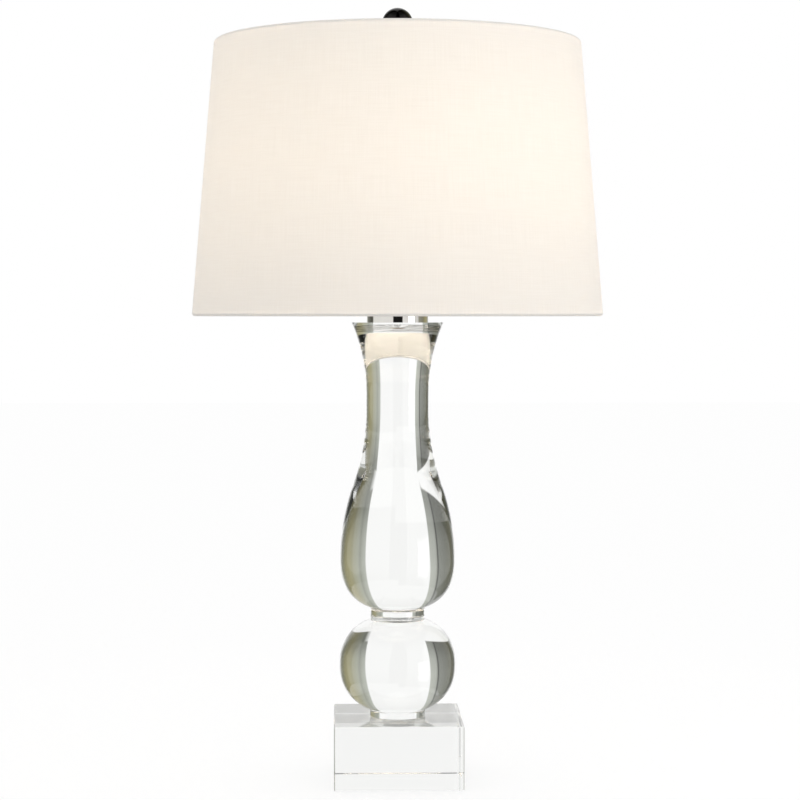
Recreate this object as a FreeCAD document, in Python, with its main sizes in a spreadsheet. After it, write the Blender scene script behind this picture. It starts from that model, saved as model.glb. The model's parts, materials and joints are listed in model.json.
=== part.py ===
import FreeCAD, Part
import math
import os
from types import SimpleNamespace

import Sketcher

# Table lamp: a column of bonded crystal pieces on a square plinth, a socket on a short metal
# neck, and a drum shade that a harp carries. Millimetres, +Z up, the origin at the middle of
# the plinth's underside.

SIZES = {
    # crystal column, from the bottom up
    "plinth_side": 127.0,
    "plinth_height": 62.6,
    "plinth_bevel": 0.8,
    "lower_disc_radius": 27.8,
    "lower_disc_height": 7.2,
    "disc_bevel": 0.4,
    "ball_radius": 57.9,
    "ball_height": 89.4,
    "ball_flat_radius": 27.0,
    "ball_side_curve": 70.4,
    "ball_end_curve": 42.6,
    "middle_disc_radius": 27.0,
    "middle_disc_height": 5.4,
    "vase_height": 290.8,
    "vase_foot_radius": 26.7,
    "vase_foot_height": 3.6,
    "foot_curve": 4.5,
    "underside_curve": 40.5,
    "belly_curve": 75.0,
    "belly_radius": 57.2,
    "belly_height": 53.8,
    "shoulder_curve": 226.0,
    "waist_curve": 228.0,
    "waist_radius": 31.0,
    "waist_straight": 14.0,
    "flare_curve": 180.0,
    # metal neck
    "collar_radius": 30.7,
    "collar_height": 9.0,
    "collar_round": 1.2,
    "nipple_radius": 4.85,
    "nipple_bore": 3.3,
    "nipple_slot": 2.6,
    "thread_gap": 0.05,
    "neck_radius": 12.0,
    "neck_height": 20.0,
    "neck_wall": 1.5,
    "neck_web": 2.5,
    "outlet_radius": 4.5,
    "outlet_height": 9.0,
    "bush_flange_radius": 6.0,
    "bush_flange": 1.6,
    "bush_length": 3.4,
    "bush_bore": 3.3,
    # harp and its saddle
    "saddle_thickness": 1.6,
    "saddle_width": 16.0,
    "saddle_tip_width": 7.0,
    "prong_height": 19.0,
    "prong_width": 3.0,
    "washer_radius": 9.5,
    "washer_thickness": 1.2,
    "nut_radius": 8.4,
    "nut_height": 4.0,
    "wire_radius": 2.2,
    "leg_offset": 28.0,
    "leg_straight": 35.0,
    "leg_curve": 60.0,
    "bow_curve": 142.0,
    "top_curve": 25.0,
    "top_half_run": 9.0,
    "harp_height": 222.0,
    "ferrule_wall": 1.0,
    "ferrule_length": 14.0,
    "ferrule_gap": 0.3,
    "seat_gap": 0.2,
    "stud_hub_radius": 5.6,
    "stud_hub_below": 3.9,
    "stud_hub_above": 4.2,
    "stud_flange_radius": 8.5,
    "stud_flange": 1.6,
    "stud_thread_radius": 3.15,
    "stud_thread_length": 13.0,
    # socket
    "cap_radius": 17.4,
    "cap_wall": 0.9,
    "cap_height": 18.0,
    "cap_hub_radius": 8.0,
    "cap_hub_step": 2.0,
    "cap_boss_radius": 6.8,
    "cap_shoulder": 7.0,
    "cap_thread_length": 6.5,
    "skin_gap": 0.1,
    "shell_wall": 0.6,
    "shell_height": 46.0,
    "shell_seat": 8.0,
    "shell_bead": 0.9,
    "shell_bead_height": 2.7,
    "sleeve_wall": 0.8,
    "sleeve_height": 43.0,
    "slot_width": 8.0,
    "block_foot_radius": 9.5,
    "block_foot_height": 6.0,
    "block_step": 2.0,
    "block_height": 20.0,
    "screw_shell_radius": 14.0,
    "screw_shell_wall": 0.5,
    "screw_shell_height": 25.0,
    "contact_radius": 4.5,
    "contact_base": 0.8,
    "contact_step_radius": 2.25,
    "contact_tip_radius": 1.65,
    "contact_height": 2.4,
    "contact_margin": 2.0,
    "terminal_radius": 2.8,
    "terminal_head": 1.6,
    "terminal_shank": 1.5,
    "terminal_depth": 4.0,
    "shaft_radius": 2.0,
    "shaft_height": 23.5,
    "shaft_root": 5.0,
    "running_gap": 0.06,
    "knob_gap": 2.4,
    "knob_length": 17.0,
    "knob_foot_radius": 5.2,
    "knob_waist_radius": 4.2,
    "knob_waist_height": 6.0,
    "knob_radius": 6.5,
    "knob_shoulder_height": 15.3,
    "knob_end_curve": 7.8,
    "knob_thickness": 7.0,
    # bulb
    "bulb_radius": 30.0,
    "bulb_neck_radius": 12.4,
    "bulb_neck_height": 9.0,
    "bulb_neck_curve": 40.0,
    "bulb_wall": 0.8,
    "bulb_cap_radius": 13.2,
    "bulb_cap_wall": 0.5,
    "bulb_cap_height": 27.0,
    "bulb_cap_shoulder": 8.2,
    "bulb_base_radius": 9.0,
    "bulb_base_height": 4.4,
    "insulator_rise": 2.0,
    "bulb_contact_recess": 3.4,
    "bulb_contact_radius": 3.0,
    "bulb_contact_edge": 0.9,
    "bulb_contact_tip_radius": 1.7,
    "bulb_contact_height": 1.5,
    "glass_seat": 20.0,
    "stem_foot_height": 1.0,
    "stem_flare_height": 6.0,
    "stem_radius": 3.0,
    "stem_height": 26.0,
    "filament_radius": 0.4,
    "filament_reach": 7.0,
    "filament_rise": 38.0,
    # shade
    "shade_bottom_radius": 203.2,
    "shade_top_radius": 181.0,
    "shade_height": 270.0,
    "fabric_thickness": 0.8,
    "liner_thickness": 0.6,
    "glue_gap": 0.15,
    "ring_wire_radius": 1.6,
    "wire_gap": 0.3,
    "spider_recess": 17.5,
    "spider_washer_radius": 10.5,
    "spider_washer": 1.6,
    "spider_hole_radius": 3.6,
    "arm_radius": 1.5,
    "arm_run": 150.0,
    "arm_bend": 20.0,
    # finial
    "finial_height": 49.9,
    "finial_ball_radius": 15.4,
    "finial_base_radius": 8.0,
    "finial_base_height": 3.0,
    "finial_cove": 4.0,
    "finial_neck_radius": 4.6,
    "finial_bore_depth": 14.0,
}


class Size:
    """A length that knows its number and the sheet expression that gives it."""

    def __init__(self, value, text):
        self.value = value
        self.text = text

    def __add__(self, other):
        return joined(self, "+", other, self.value + as_size(other).value)

    def __sub__(self, other):
        return joined(self, "-", other, self.value - as_size(other).value)

    def __mul__(self, other):
        return joined(self, "*", other, self.value * as_size(other).value)

    def __truediv__(self, other):
        return joined(self, "/", other, self.value / as_size(other).value)

    def __neg__(self):
        return as_size(0) - self


def as_size(length):
    """Take a plain number as a size too."""
    if isinstance(length, Size):
        return length
    return Size(float(length), str(float(length)))


def joined(left, sign, right, value):
    """Write two sizes and the sign between them as one size."""
    return Size(value, f"({left.text} {sign} {as_size(right).text})")


def root(length):
    """Square root of a size."""
    return Size(math.sqrt(length.value), f"sqrt({length.text})")


S = SimpleNamespace(**{name: Size(value, "Sizes." + name) for name, value in SIZES.items()})
doc = FreeCAD.newDocument("candlestick_lamp")
NODES = []
UP = FreeCAD.Vector(0, 0, 1)


def build_sheet():
    """Keep the driving sizes in one sheet, each under its own alias."""
    sheet = doc.addObject("Spreadsheet::Sheet", "Sizes")
    for row, (name, value) in enumerate(SIZES.items(), start=1):
        sheet.set(f"A{row}", name)
        sheet.set(f"B{row}", str(value))
        sheet.setAlias(f"B{row}", name)
    doc.recompute()


# ---------------------------------------------------------------- sketches

def origin_item(body, role):
    """Find one of a body's own origin planes or axes."""
    return next(item for item in body.Origin.OriginFeatures if item.Role == role)


def new_body(name):
    """Start the body of one sub-part."""
    body = doc.addObject("PartDesign::Body", name + "_body")
    body.Label = name
    NODES.append(body)
    return body


def new_sketch(body, name, plane="XZ_Plane"):
    """Lay an empty sketch on one of the body's origin planes."""
    sketch = body.newObject("Sketcher::SketchObject", name)
    sketch.AttachmentSupport = [(origin_item(body, plane), "")]
    sketch.MapMode = "FlatFace"
    return sketch


def dimension(sketch, kind, where, length):
    """Add one measured constraint and tie it to the sheet."""
    index = sketch.addConstraint(Sketcher.Constraint(kind, *where, length.value))
    sketch.setExpression(f"Constraints[{index}]", length.text)


def pin_point(sketch, edge, end, x, y):
    """Fix a point of an edge by its two coordinates; a plain 0 puts it on the axis."""
    for kind, axis, length in (("DistanceX", -2, x), ("DistanceY", -1, y)):
        if isinstance(length, Size):
            dimension(sketch, kind, (-1, 1, edge, end), length)
        elif length == 0:
            sketch.addConstraint(Sketcher.Constraint("PointOnObject", edge, end, axis))
        else:
            raise ValueError(f"{sketch.Name}: {length} has no name")


def arc_between(start, end, radius, side):
    """Arc of under a half circle; side 1 bulges to the left of the way from start to end."""
    chord = end - start
    across = FreeCAD.Vector(-chord.y, chord.x, 0).normalize() * side
    rise = math.sqrt(radius * radius - chord.Length * chord.Length / 4)
    centre = (start + end) * 0.5 - across * rise
    return arc_about(centre, start, end, radius, side == -1)


def arc_about(centre, start, end, radius, anticlockwise):
    """Arc from start to end round a centre, with which of its two ends comes first."""
    first, last = (start, end) if anticlockwise else (end, start)
    begin = math.atan2(first.y - centre.y, first.x - centre.x)
    finish = math.atan2(last.y - centre.y, last.x - centre.x)
    if finish <= begin:
        finish += 2 * math.pi
    arc = Part.ArcOfCircle(Part.Circle(centre, UP, radius), begin, finish)
    return arc, (1, 2) if anticlockwise else (2, 1)


def draw_outline(sketch, corners):
    """Close a chain of edges through corners (x, y) or (x, y, radius, side).

    A corner with a radius starts an arc, and the others start a straight edge.
    """
    points = [FreeCAD.Vector(as_size(c[0]).value, as_size(c[1]).value, 0) for c in corners]
    ends = []
    for index, corner in enumerate(corners):
        start = points[index]
        end = points[(index + 1) % len(points)]
        if len(corner) == 2:
            sketch.addGeometry(Part.LineSegment(start, end), False)
            ends.append((1, 2))
        else:
            arc, order = arc_between(start, end, corner[2].value, corner[3])
            sketch.addGeometry(arc, False)
            ends.append(order)
    for index, corner in enumerate(corners):
        last = index - 1 if index else len(corners) - 1
        joint = Sketcher.Constraint("Coincident", last, ends[last][1], index, ends[index][0])
        sketch.addConstraint(joint)
    for index, corner in enumerate(corners):
        pin_point(sketch, index, ends[index][0], corner[0], corner[1])
        if len(corner) > 2:
            dimension(sketch, "Radius", (index,), corner[2])


def draw_circle(sketch, x, y, radius):
    """Circle with its centre and radius tied to the sheet."""
    centre = FreeCAD.Vector(as_size(x).value, as_size(y).value, 0)
    edge = sketch.addGeometry(Part.Circle(centre, UP, radius.value), False)
    pin_point(sketch, edge, 3, x, y)
    dimension(sketch, "Radius", (edge,), radius)


def circles_meet(first, first_radius, second, second_radius, side):
    """Where two circles cross; side 1 is left of the way from the first to the second."""
    way = second - first
    gap = way.Length
    along = (first_radius ** 2 - second_radius ** 2 + gap ** 2) / (2 * gap)
    across = math.sqrt(first_radius ** 2 - along ** 2) * side
    way.normalize()
    return first + way * along + FreeCAD.Vector(-way.y, way.x, 0) * across


# ---------------------------------------------------------------- features

def revolve(body, sketch):
    """Turn a sketch a full circle about its own vertical axis."""
    feature = body.newObject("PartDesign::Revolution", sketch.Name + "_turned")
    feature.Profile = sketch
    feature.ReferenceAxis = (sketch, ["V_Axis"])
    feature.Angle = 360
    sketch.Visibility = False
    body.Tip = feature
    return feature


def pad(body, sketch, length, middle=False):
    """Raise a sketch by a length, or half to each side."""
    feature = body.newObject("PartDesign::Pad", sketch.Name + "_pad")
    feature.Profile = sketch
    feature.setExpression("Length", length.text)
    feature.Midplane = middle
    body.Tip = feature
    return feature


def pocket(body, sketch, length, reverse=False, middle=False):
    """Cut a sketch into the body, and make sure that it did cut."""
    doc.recompute()
    before = body.Shape.Volume
    feature = body.newObject("PartDesign::Pocket", sketch.Name + "_cut")
    feature.Profile = sketch
    feature.Reversed = reverse
    feature.Midplane = middle
    feature.setExpression("Length", length.text)
    body.Tip = feature
    doc.recompute()
    if not body.Shape.Volume < before:
        raise RuntimeError(sketch.Name + " cuts nothing")
    return feature


def place(item, x=None, y=None, z=None, rotation=None):
    """Set a sub-part's place, tied to the sheet."""
    lengths = [as_size(0) if length is None else length for length in (x, y, z)]
    turn = rotation or FreeCAD.Rotation()
    item.Placement = FreeCAD.Placement(FreeCAD.Vector(*[each.value for each in lengths]), turn)
    for axis, length in zip("xyz", (x, y, z)):
        if length is not None:
            item.setExpression(f"Placement.Base.{axis}", length.text)


def turned(name, corners, z=None, y=None, rotation=None):
    """A sub-part turned about its own Z axis from one outline."""
    body = new_body(name)
    sketch = new_sketch(body, name + "_outline")
    draw_outline(sketch, corners)
    revolve(body, sketch)
    place(body, y=y, z=z, rotation=rotation)
    return body


def ring(inner, outer, low, high):
    """Outline of a plain ring."""
    return [(inner, low), (outer, low), (outer, high), (inner, high)]


def hexagon(radius):
    """Corners of a six-sided outline."""
    half = radius / 2
    tall = root(radius * radius - half * half)
    return [(radius, 0), (half, tall), (-half, tall), (-radius, 0), (-half, -tall), (half, -tall)]


# ---------------------------------------------------------------- levels

ball_level = S.plinth_height + S.lower_disc_height
middle_disc_level = ball_level + S.ball_height
vase_level = middle_disc_level + S.middle_disc_height
collar_level = vase_level + S.vase_height
neck_level = collar_level + S.collar_height
outlet_level = neck_level + S.outlet_height
saddle_level = neck_level + S.neck_height
washer_level = saddle_level + S.saddle_thickness
nut_level = washer_level + S.washer_thickness
cap_level = nut_level + S.nut_height
shell_level = cap_level + S.shell_seat
block_level = shell_level
screw_shell_level = block_level + S.block_height
shaft_level = cap_level + S.shaft_height
bulb_level = screw_shell_level + S.contact_height + S.seat_gap
glass_level = bulb_level + S.glass_seat
harp_level = washer_level + S.seat_gap
harp_top = harp_level + S.harp_height
flange_level = harp_top + S.stud_hub_above
spider_level = flange_level + S.stud_flange + S.seat_gap
shade_top = spider_level + S.spider_recess
shade_level = shade_top - S.shade_height
finial_level = spider_level + S.spider_washer + S.seat_gap

# sizes that several pieces share
thread_hole = S.nipple_radius + S.thread_gap
roll = S.ring_wire_radius + S.wire_gap + S.fabric_thickness
shell_radius = S.cap_radius - S.cap_wall - S.skin_gap
sleeve_radius = shell_radius - S.shell_wall - S.skin_gap
block_radius = sleeve_radius - S.sleeve_wall - S.skin_gap
TO_BACK = FreeCAD.Rotation(FreeCAD.Vector(1, 0, 0), -90)
TO_FRONT = FreeCAD.Rotation(FreeCAD.Vector(1, 0, 0), 90)
TO_RIGHT = FreeCAD.Rotation(FreeCAD.Vector(0, 1, 0), 90)
TO_LEFT = FreeCAD.Rotation(FreeCAD.Vector(0, 1, 0), -90)


# ---------------------------------------------------------------- crystal column

def bevelled_disc(name, radius, height, z):
    """Crystal disc with a fine bevel round both rims."""
    bevel = S.disc_bevel
    corners = [(0, 0), (radius - bevel, 0), (radius, bevel), (radius, height - bevel),
               (radius - bevel, height), (0, height)]
    turned(name, corners, z)


def build_plinth():
    """Square crystal block with a fine bevel on every edge."""
    body = new_body("plinth")
    sketch = new_sketch(body, "plinth_outline", "XY_Plane")
    half = S.plinth_side / 2
    draw_outline(sketch, [(-half, -half), (half, -half), (half, half), (-half, half)])
    block = pad(body, sketch, S.plinth_height)
    doc.recompute()
    bevel = body.newObject("PartDesign::Chamfer", "plinth_bevel")
    bevel.Base = (block, [f"Edge{number}" for number in range(1, 13)])
    bevel.setExpression("Size", S.plinth_bevel.text)
    body.Tip = bevel
    place(body)


def build_ball():
    """Flattened crystal ball: one side arc and an arc of a smaller radius to each flat."""
    body = new_body("crystal_ball")
    sketch = new_sketch(body, "crystal_ball_outline")
    middle = S.ball_height.value / 2
    side = FreeCAD.Vector(S.ball_radius.value - S.ball_side_curve.value, middle, 0)
    low = FreeCAD.Vector(S.ball_flat_radius.value, 0, 0)
    high = FreeCAD.Vector(low.x, S.ball_height.value, 0)
    end_radius = S.ball_end_curve.value
    side_radius = S.ball_side_curve.value
    low_centre = circles_meet(side, side_radius - end_radius, low, end_radius, 1)
    high_centre = FreeCAD.Vector(low_centre.x, S.ball_height.value - low_centre.y, 0)
    low_touch = side + (low_centre - side).normalize() * side_radius
    high_touch = side + (high_centre - side).normalize() * side_radius
    foot = FreeCAD.Vector(0, 0, 0)
    top = FreeCAD.Vector(0, S.ball_height.value, 0)
    sketch.addGeometry([
        Part.LineSegment(foot, low),
        arc_about(low_centre, low, low_touch, end_radius, True)[0],
        arc_about(side, low_touch, high_touch, side_radius, True)[0],
        arc_about(high_centre, high_touch, high, end_radius, True)[0],
        Part.LineSegment(high, top),
        Part.LineSegment(top, foot),
    ], False)
    for first, second in ((0, 1), (3, 4), (4, 5), (5, 0)):
        sketch.addConstraint(Sketcher.Constraint("Coincident", first, 2, second, 1))
    for first, second in ((1, 2), (2, 3)):
        sketch.addConstraint(Sketcher.Constraint("Tangent", first, 2, second, 1))
    pin_point(sketch, 0, 1, 0, 0)
    pin_point(sketch, 0, 2, S.ball_flat_radius, 0)
    pin_point(sketch, 4, 1, S.ball_flat_radius, S.ball_height)
    sketch.addConstraint(Sketcher.Constraint("PointOnObject", 4, 2, -2))
    sketch.addConstraint(Sketcher.Constraint("Horizontal", 4))
    dimension(sketch, "Radius", (1,), S.ball_end_curve)
    dimension(sketch, "Radius", (3,), S.ball_end_curve)
    dimension(sketch, "Radius", (2,), S.ball_side_curve)
    dimension(sketch, "DistanceX", (-1, 1, 2, 3), S.ball_radius - S.ball_side_curve)
    revolve(body, sketch)
    place(body, z=ball_level)


def build_vase():
    """Crystal baluster: foot, belly, waist and flared top as one chain of tangent arcs."""
    body = new_body("vase")
    sketch = new_sketch(body, "vase_outline")
    foot = FreeCAD.Vector(S.vase_foot_radius.value, S.vase_foot_height.value, 0)
    belly = FreeCAD.Vector(S.belly_radius.value, S.belly_height.value, 0)
    foot_centre = foot + FreeCAD.Vector(S.foot_curve.value, 0, 0)
    belly_centre = belly - FreeCAD.Vector(S.belly_curve.value, 0, 0)
    under_centre = circles_meet(belly_centre, S.belly_curve.value - S.underside_curve.value,
                                foot_centre, S.underside_curve.value + S.foot_curve.value, 1)
    foot_touch = foot_centre + (under_centre - foot_centre).normalize() * S.foot_curve.value
    under_touch = belly_centre + (under_centre - belly_centre).normalize() * S.belly_curve.value
    shoulder_centre = belly - FreeCAD.Vector(S.shoulder_curve.value, 0, 0)
    waist_x = S.waist_radius.value + S.waist_curve.value
    reach = S.shoulder_curve.value + S.waist_curve.value
    waist_low_z = belly.y + math.sqrt(reach ** 2 - (waist_x - shoulder_centre.x) ** 2)
    waist_centre = FreeCAD.Vector(waist_x, waist_low_z, 0)
    shoulder_touch = shoulder_centre + (waist_centre - shoulder_centre).normalize() * S.shoulder_curve.value
    waist_low = FreeCAD.Vector(S.waist_radius.value, waist_low_z, 0)
    waist_high = waist_low + FreeCAD.Vector(0, S.waist_straight.value, 0)
    flare_centre = waist_high + FreeCAD.Vector(S.flare_curve.value, 0, 0)
    climb = S.vase_height.value - waist_high.y
    rim_x = flare_centre.x - math.sqrt(S.flare_curve.value ** 2 - climb ** 2)
    rim = FreeCAD.Vector(rim_x, S.vase_height.value, 0)
    bottom = FreeCAD.Vector(0, 0, 0)
    corner = FreeCAD.Vector(foot.x, 0, 0)
    top = FreeCAD.Vector(0, S.vase_height.value, 0)
    sketch.addGeometry([
        Part.LineSegment(bottom, corner),
        Part.LineSegment(corner, foot),
        arc_about(foot_centre, foot, foot_touch, S.foot_curve.value, False)[0],
        arc_about(under_centre, foot_touch, under_touch, S.underside_curve.value, True)[0],
        arc_about(belly_centre, under_touch, belly, S.belly_curve.value, True)[0],
        arc_about(shoulder_centre, belly, shoulder_touch, S.shoulder_curve.value, True)[0],
        arc_about(waist_centre, shoulder_touch, waist_low, S.waist_curve.value, False)[0],
        Part.LineSegment(waist_low, waist_high),
        arc_about(flare_centre, waist_high, rim, S.flare_curve.value, False)[0],
        Part.LineSegment(rim, top),
        Part.LineSegment(top, bottom),
    ], False)
    # The arcs that bend outwards run backwards, so their ends are the other way round.
    starts = [1, 1, 2, 1, 1, 1, 2, 1, 2, 1, 1]
    ends = [3 - start for start in starts]
    tangent_edges = {2, 3, 4, 5, 6, 7, 8}
    for edge in range(11):
        after = (edge + 1) % 11
        kind = "Tangent" if after in tangent_edges else "Coincident"
        sketch.addConstraint(Sketcher.Constraint(kind, edge, ends[edge], after, starts[after]))
    sketch.addConstraint(Sketcher.Constraint("Vertical", 7))
    sketch.addConstraint(Sketcher.Constraint("Horizontal", 9))
    pin_point(sketch, 0, 1, 0, 0)
    pin_point(sketch, 1, 1, S.vase_foot_radius, 0)
    pin_point(sketch, 1, 2, S.vase_foot_radius, S.vase_foot_height)
    pin_point(sketch, 5, 1, S.belly_radius, S.belly_height)
    pin_point(sketch, 10, 1, 0, S.vase_height)
    sketch.addConstraint(Sketcher.Constraint("Horizontal", 4, 3, 4, 2))
    dimension(sketch, "DistanceX", (-1, 1, 7, 1), S.waist_radius)
    dimension(sketch, "DistanceY", (7, 1, 7, 2), S.waist_straight)
    for edge, radius in ((2, S.foot_curve), (3, S.underside_curve), (4, S.belly_curve),
                         (5, S.shoulder_curve), (6, S.waist_curve), (8, S.flare_curve)):
        dimension(sketch, "Radius", (edge,), radius)
    revolve(body, sketch)
    place(body, z=vase_level)


def build_column():
    """The five bonded crystal pieces."""
    build_plinth()
    bevelled_disc("lower_disc", S.lower_disc_radius, S.lower_disc_height, S.plinth_height)
    build_ball()
    bevelled_disc("middle_disc", S.middle_disc_radius, S.middle_disc_height, middle_disc_level)
    build_vase()


# ---------------------------------------------------------------- metal neck

def build_neck():
    """Collar, threaded tube, neck cup and the bush of its cord outlet."""
    round_edge = S.collar_round
    turned("collar", [
        (thread_hole, 0), (S.collar_radius, 0),
        (S.collar_radius, S.collar_height - round_edge, round_edge, -1),
        (S.collar_radius - round_edge, S.collar_height), (thread_hole, S.collar_height),
    ], collar_level)

    nipple_length = (S.collar_height + S.neck_height + S.saddle_thickness + S.washer_thickness
                     + S.nut_height + S.cap_thread_length)
    nipple = turned("nipple", ring(S.nipple_bore, S.nipple_radius, 0, nipple_length), collar_level)
    slot = new_sketch(nipple, "nipple_slot")
    draw_circle(slot, 0, S.collar_height + S.outlet_height, S.nipple_slot)
    pocket(nipple, slot, S.nipple_radius * 2)

    inside = S.neck_radius - S.neck_wall
    web = S.neck_height - S.neck_web
    neck = turned("neck", [
        (inside, 0), (S.neck_radius, 0), (S.neck_radius, S.neck_height),
        (thread_hole, S.neck_height), (thread_hole, web), (inside, web),
    ], neck_level)
    outlet = new_sketch(neck, "neck_outlet")
    draw_circle(outlet, 0, S.outlet_height, S.outlet_radius)
    pocket(neck, outlet, S.neck_radius * 2)

    shank = S.outlet_radius - S.thread_gap
    turned("cord_bushing", [
        (S.bush_bore, -S.bush_length), (shank, -S.bush_length), (shank, 0),
        (S.bush_flange_radius, 0), (S.bush_flange_radius, S.bush_flange),
        (S.bush_bore, S.bush_flange),
    ], z=outlet_level, y=S.neck_radius + S.skin_gap, rotation=TO_BACK)


# ---------------------------------------------------------------- harp

def build_saddle():
    """Strip across the neck with an upturned prong at each end."""
    body = new_body("saddle")
    plan = new_sketch(body, "saddle_plan", "XY_Plane")
    reach = S.leg_offset + S.wire_radius
    half = S.saddle_width / 2
    tip = S.saddle_tip_width / 2
    draw_outline(plan, [
        (reach, -tip), (reach, tip), (half, half), (-half, half),
        (-reach, tip), (-reach, -tip), (-half, -half), (half, -half),
    ])
    pad(body, plan, S.saddle_thickness)
    outer = S.leg_offset - S.wire_radius - S.seat_gap
    inner = outer - S.saddle_thickness
    side = S.prong_width / 2
    for name, sign in (("right_prong", 1), ("left_prong", -1)):
        foot = new_sketch(body, name, "XY_Plane")
        draw_outline(foot, [(inner * sign, -side), (outer * sign, -side),
                            (outer * sign, side), (inner * sign, side)])
        pad(body, foot, S.saddle_thickness + S.prong_height)
    hole = new_sketch(body, "saddle_hole", "XY_Plane")
    draw_circle(hole, 0, 0, thread_hole)
    pocket(body, hole, S.saddle_thickness, reverse=True)
    place(body, z=saddle_level)


def build_harp():
    """Wire loop: half of it follows straight legs and tangent arcs, and the rest mirrors it."""
    body = new_body("harp")
    path = new_sketch(body, "harp_path")
    leg_foot = FreeCAD.Vector(S.leg_offset.value, 0, 0)
    leg_top = leg_foot + FreeCAD.Vector(0, S.leg_straight.value, 0)
    leg_centre = leg_top + FreeCAD.Vector(S.leg_curve.value, 0, 0)
    run_end = FreeCAD.Vector(S.top_half_run.value, S.harp_height.value, 0)
    top_centre = run_end - FreeCAD.Vector(0, S.top_curve.value, 0)
    bow_centre = circles_meet(leg_centre, S.leg_curve.value + S.bow_curve.value,
                              top_centre, S.bow_curve.value - S.top_curve.value, 1)
    leg_touch = leg_centre + (bow_centre - leg_centre).normalize() * S.leg_curve.value
    top_touch = bow_centre + (top_centre - bow_centre).normalize() * S.bow_curve.value
    middle = FreeCAD.Vector(0, S.harp_height.value, 0)
    path.addGeometry([
        Part.LineSegment(middle, run_end),
        arc_about(top_centre, run_end, top_touch, S.top_curve.value, False)[0],
        arc_about(bow_centre, top_touch, leg_touch, S.bow_curve.value, False)[0],
        arc_about(leg_centre, leg_touch, leg_top, S.leg_curve.value, True)[0],
        Part.LineSegment(leg_top, leg_foot),
    ], False)
    starts = [1, 2, 2, 1, 1]
    for edge in range(4):
        path.addConstraint(Sketcher.Constraint("Tangent", edge, 3 - starts[edge],
                                               edge + 1, starts[edge + 1]))
    pin_point(path, 0, 1, 0, S.harp_height)
    pin_point(path, 0, 2, S.top_half_run, S.harp_height)
    pin_point(path, 4, 2, S.leg_offset, 0)
    path.addConstraint(Sketcher.Constraint("Vertical", 4))
    dimension(path, "DistanceY", (4, 2, 4, 1), S.leg_straight)
    for edge, radius in ((1, S.top_curve), (2, S.bow_curve), (3, S.leg_curve)):
        dimension(path, "Radius", (edge,), radius)
    section = new_sketch(body, "harp_section", "YZ_Plane")
    draw_circle(section, 0, S.harp_height, S.wire_radius)
    doc.recompute()
    pipe = body.newObject("PartDesign::AdditivePipe", "harp_half")
    pipe.Profile = section
    pipe.Spine = (path, [f"Edge{number}" for number in range(1, 6)])
    doc.recompute()
    mirror = body.newObject("PartDesign::Mirrored", "harp_mirrored")
    mirror.Originals = [pipe]
    mirror.MirrorPlane = (origin_item(body, "YZ_Plane"), [""])
    body.Tip = mirror
    place(body, z=harp_level)


def build_ferrule(name, sign):
    """Sleeve round one harp leg and the prong beside it."""
    depth = S.wire_radius + S.wire_radius + S.seat_gap + S.saddle_thickness
    corner = root(depth * depth / 4 + S.prong_width * S.prong_width / 4)
    bore = corner + S.ferrule_gap
    body = turned(name, ring(bore, bore + S.ferrule_wall, 0, S.ferrule_length))
    centre = S.leg_offset + S.wire_radius - depth / 2
    place(body, x=centre * sign, z=harp_level)


def build_harp_stud():
    """Turned hub on the harp's top run, with the shade's seat and the finial's thread."""
    flange = S.stud_hub_below + S.stud_hub_above
    body = turned("harp_stud", [
        (0, 0), (S.stud_hub_radius, 0), (S.stud_hub_radius, flange), (S.stud_flange_radius, flange),
        (S.stud_flange_radius, flange + S.stud_flange), (S.stud_thread_radius, flange + S.stud_flange),
        (S.stud_thread_radius, flange + S.stud_flange + S.stud_thread_length),
        (0, flange + S.stud_flange + S.stud_thread_length),
    ], harp_top - S.stud_hub_below)
    hole = new_sketch(body, "harp_stud_hole", "YZ_Plane")
    draw_circle(hole, 0, S.stud_hub_below, S.wire_radius + S.thread_gap)
    pocket(body, hole, S.stud_hub_radius * 3, middle=True)


def build_harp_parts():
    """Everything between the neck and the shade's seat."""
    build_saddle()
    turned("washer", ring(thread_hole, S.washer_radius, 0, S.washer_thickness), washer_level)
    nut = new_body("lock_nut")
    plan = new_sketch(nut, "lock_nut_plan", "XY_Plane")
    draw_outline(plan, hexagon(S.nut_radius))
    pad(nut, plan, S.nut_height)
    hole = new_sketch(nut, "lock_nut_hole", "XY_Plane")
    draw_circle(hole, 0, 0, thread_hole)
    pocket(nut, hole, S.nut_height, reverse=True)
    place(nut, z=nut_level)
    build_harp()
    build_ferrule("right_ferrule", 1)
    build_ferrule("left_ferrule", -1)
    build_harp_stud()


# ---------------------------------------------------------------- socket

def cut_knob_slot(body, name, rise):
    """Slot up from a tube's front rim, which clears the switch shaft."""
    slot = new_sketch(body, name + "_slot")
    half = S.slot_width / 2
    top = rise + half
    draw_outline(slot, [(-half, -half), (half, -half), (half, top), (-half, top)])
    pocket(body, slot, S.cap_radius * 2, reverse=True)


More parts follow.
